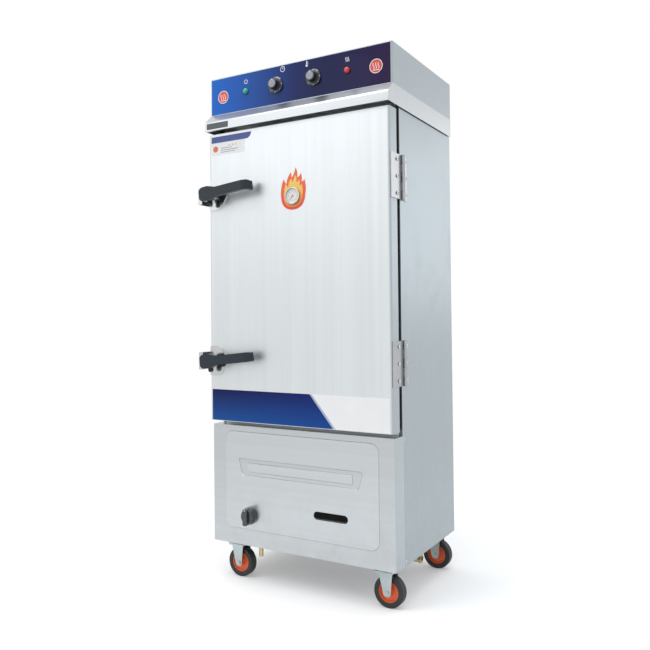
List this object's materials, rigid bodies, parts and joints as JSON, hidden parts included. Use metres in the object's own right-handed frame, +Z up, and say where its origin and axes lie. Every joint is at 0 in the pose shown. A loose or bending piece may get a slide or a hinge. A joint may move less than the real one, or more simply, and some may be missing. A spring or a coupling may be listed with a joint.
{
  "type": "rice steamer cabinet",
  "caption": "Tall insulated steam cabinet for rice trays, with a latched door, gas and electric heating and swivel casters.",
  "frame": {"origin": "on the floor below the middle of the cabinet", "axes": "+Z up, +X to the right seen from the front, +Y towards the back"},
  "size_m": [0.739, 0.603, 1.747],
  "materials": {
    "brushed_sheet": "brushed",
    "inner_sheet": "satin",
    "frame_steel": "satin",
    "foam": "foam",
    "cast_burner": "rough",
    "brass": "worn",
    "chrome": "polished",
    "zinc": "zinc plated",
    "film": "printed film",
    "black_plastic": "moulded",
    "lever_plastic": "moulded",
    "white_dial": "printed",
    "clear": "clear",
    "needle_red": "satin",
    "green_lens": "translucent",
    "red_lens": "translucent",
    "red_grip": "dipped",
    "gasket_rubber": "matt",
    "orange_hub": "moulded",
    "tyre": "matt",
    "switch_case": "moulded",
    "copper_steel": "heater sheath"
  },
  "bodies": {
    "cabinet": {"base_frame": "frame_steel", "left_side_panel": "brushed_sheet", "right_side_panel": "brushed_sheet", "rear_panel": "brushed_sheet", "chamber_liner": "inner_sheet", "wall_insulation": "foam", "tray_racks": "inner_sheet", "trays": "inner_sheet", "water_tank": "inner_sheet", "steam_plate": "inner_sheet", "heating_elements": "copper_steel", "gas_burner": "cast_burner", "gas_valve": "zinc", "gas_pipe": "brass", "water_inlet": "brass", "steam_vent": "inner_sheet", "drain_pipe": "inner_sheet", "drain_valve_body": "brass", "lower_panel": "brushed_sheet", "roof_cap": "brushed_sheet", "control_box": "brushed_sheet", "control_panel": "film", "green_lamp": "green_lens", "red_lamp": "red_lens", "timer_body": "switch_case", "thermostat_body": "switch_case", "contactor": "switch_case", "hinge_body_leaves": "zinc", "latch_keepers": "chrome", "cabinet_screws": "zinc", "caster_plates": "zinc"},
    "door": {"door_skin": "brushed_sheet", "door_liner": "inner_sheet", "door_insulation": "foam", "door_gasket": "gasket_rubber", "hinge_door_leaves": "zinc", "door_screws": "zinc", "latch_bases": "chrome", "thermometer_case": "chrome", "thermometer_dial": "white_dial", "thermometer_glass": "clear"},
    "upper_latch": {"upper_latch_lever": "lever_plastic"},
    "lower_latch": {"lower_latch_lever": "lever_plastic"},
    "thermometer_needle": {"thermometer_needle": "needle_red"},
    "timer_knob": {"timer_knob": "black_plastic"},
    "thermostat_knob": {"thermostat_knob": "black_plastic"},
    "gas_knob": {"gas_knob": "black_plastic"},
    "drain_lever": {"drain_valve_lever": "red_grip"},
    "front_left_fork": {"front_left_caster_fork": "zinc"},
    "front_left_wheel": {"front_left_caster_hub": "orange_hub", "front_left_caster_tyre": "tyre"},
    "front_right_fork": {"front_right_caster_fork": "zinc"},
    "front_right_wheel": {"front_right_caster_hub": "orange_hub", "front_right_caster_tyre": "tyre"},
    "rear_left_fork": {"rear_left_caster_fork": "zinc"},
    "rear_left_wheel": {"rear_left_caster_hub": "orange_hub", "rear_left_caster_tyre": "tyre"},
    "rear_right_fork": {"rear_right_caster_fork": "zinc"},
    "rear_right_wheel": {"rear_right_caster_hub": "orange_hub", "rear_right_caster_tyre": "tyre"}
  },
  "joints": [
    {"name": "door_hinge", "type": "hinge", "parent": "cabinet", "child": "door", "pos_m": [0.357, -0.1605, 1.045], "axis": [0, 0, 1], "range_deg": [0, 180]},
    {"name": "upper_latch_turn", "type": "hinge", "parent": "door", "child": "upper_latch", "pos_m": [-0.33, -0.2435, 1.328], "axis": [0, 1, 0], "range_deg": [0, 90]},
    {"name": "lower_latch_turn", "type": "hinge", "parent": "door", "child": "lower_latch", "pos_m": [-0.33, -0.2435, 0.752], "axis": [0, 1, 0], "range_deg": [0, 90]},
    {"name": "thermometer_needle_turn", "type": "hinge", "parent": "door", "child": "thermometer_needle", "pos_m": [0, -0.2435, 1.299], "axis": [0, 1, 0], "range_deg": [0, 270]},
    {"name": "timer_turn", "type": "hinge", "parent": "cabinet", "child": "timer_knob", "pos_m": [-0.074, -0.2285, 1.682], "axis": [0, 1, 0], "range_deg": [0, 300]},
    {"name": "thermostat_turn", "type": "hinge", "parent": "cabinet", "child": "thermostat_knob", "pos_m": [0.074, -0.2285, 1.682], "axis": [0, 1, 0], "range_deg": [0, 270]},
    {"name": "gas_knob_turn", "type": "hinge", "parent": "cabinet", "child": "gas_knob", "pos_m": [-0.191, -0.2285, 0.229], "axis": [0, -1, 0], "range_deg": [0, 180]},
    {"name": "drain_lever_turn", "type": "hinge", "parent": "cabinet", "child": "drain_lever", "pos_m": [0.2795, 0.0715, 0.075], "axis": [0, 0, -1], "range_deg": [0, 90]},
    {"name": "front_left_swivel", "type": "hinge", "parent": "cabinet", "child": "front_left_fork", "pos_m": [-0.284, -0.1785, 0.1], "axis": [0, 0, 1], "continuous": true},
    {"name": "front_left_wheel_spin", "type": "hinge", "parent": "front_left_fork", "child": "front_left_wheel", "pos_m": [-0.263, -0.1785, 0.05], "axis": [0, 1, 0], "continuous": true},
    {"name": "front_right_swivel", "type": "hinge", "parent": "cabinet", "child": "front_right_fork", "pos_m": [0.284, -0.1785, 0.1], "axis": [0, 0, 1], "continuous": true},
    {"name": "front_right_wheel_spin", "type": "hinge", "parent": "front_right_fork", "child": "front_right_wheel", "pos_m": [0.305, -0.1785, 0.05], "axis": [0, 1, 0], "continuous": true},
    {"name": "rear_left_swivel", "type": "hinge", "parent": "cabinet", "child": "rear_left_fork", "pos_m": [-0.284, 0.2215, 0.1], "axis": [0, 0, 1], "continuous": true},
    {"name": "rear_left_wheel_spin", "type": "hinge", "parent": "rear_left_fork", "child": "rear_left_wheel", "pos_m": [-0.263, 0.2215, 0.05], "axis": [0, 1, 0], "continuous": true},
    {"name": "rear_right_swivel", "type": "hinge", "parent": "cabinet", "child": "rear_right_fork", "pos_m": [0.284, 0.2215, 0.1], "axis": [0, 0, 1], "continuous": true},
    {"name": "rear_right_wheel_spin", "type": "hinge", "parent": "rear_right_fork", "child": "rear_right_wheel", "pos_m": [0.305, 0.2215, 0.05], "axis": [0, 1, 0], "continuous": true}
  ]
}
